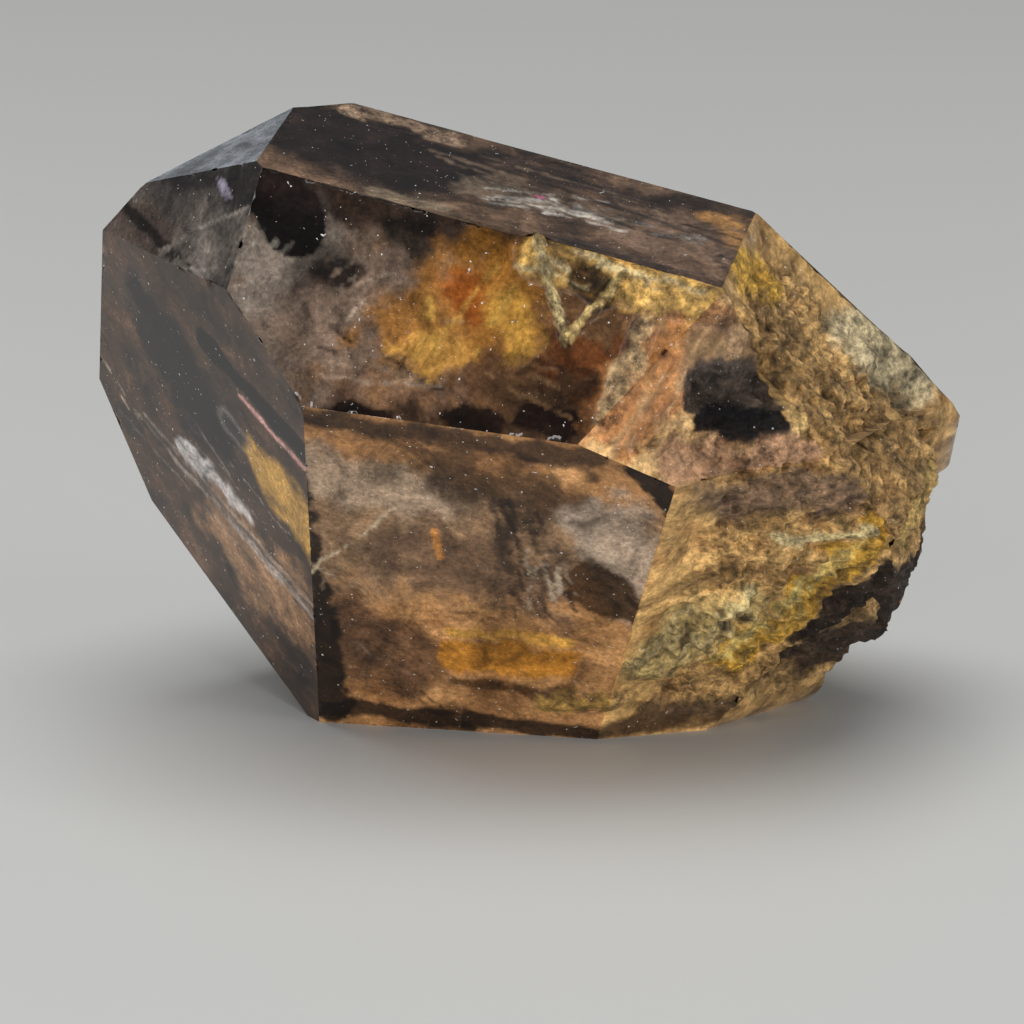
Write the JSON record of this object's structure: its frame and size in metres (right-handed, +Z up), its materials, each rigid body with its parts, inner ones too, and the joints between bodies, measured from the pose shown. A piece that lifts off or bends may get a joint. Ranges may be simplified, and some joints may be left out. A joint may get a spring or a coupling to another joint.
{
  "type": "smoky quartz crystal",
  "caption": "Stout smoky quartz crystal lying on its side, with clean natural faces at its point and a broken, iron-stained base.",
  "frame": {"origin": "on the surface that the crystal lies on, under the middle of its bounding box", "axes": "+Z up out of the surface, +X along the crystal from its point to its broken base, -Y towards the side with the two wide prism faces"},
  "size_m": [0.0797, 0.0558, 0.0586],
  "materials": {
    "smoky_quartz": "murky grey-brown quartz, glassy on its natural faces and rough and rust-stained on its broken base"
  },
  "bodies": {
    "root": {"smoky_quartz_crystal": "smoky_quartz"}
  },
  "joints": []
}
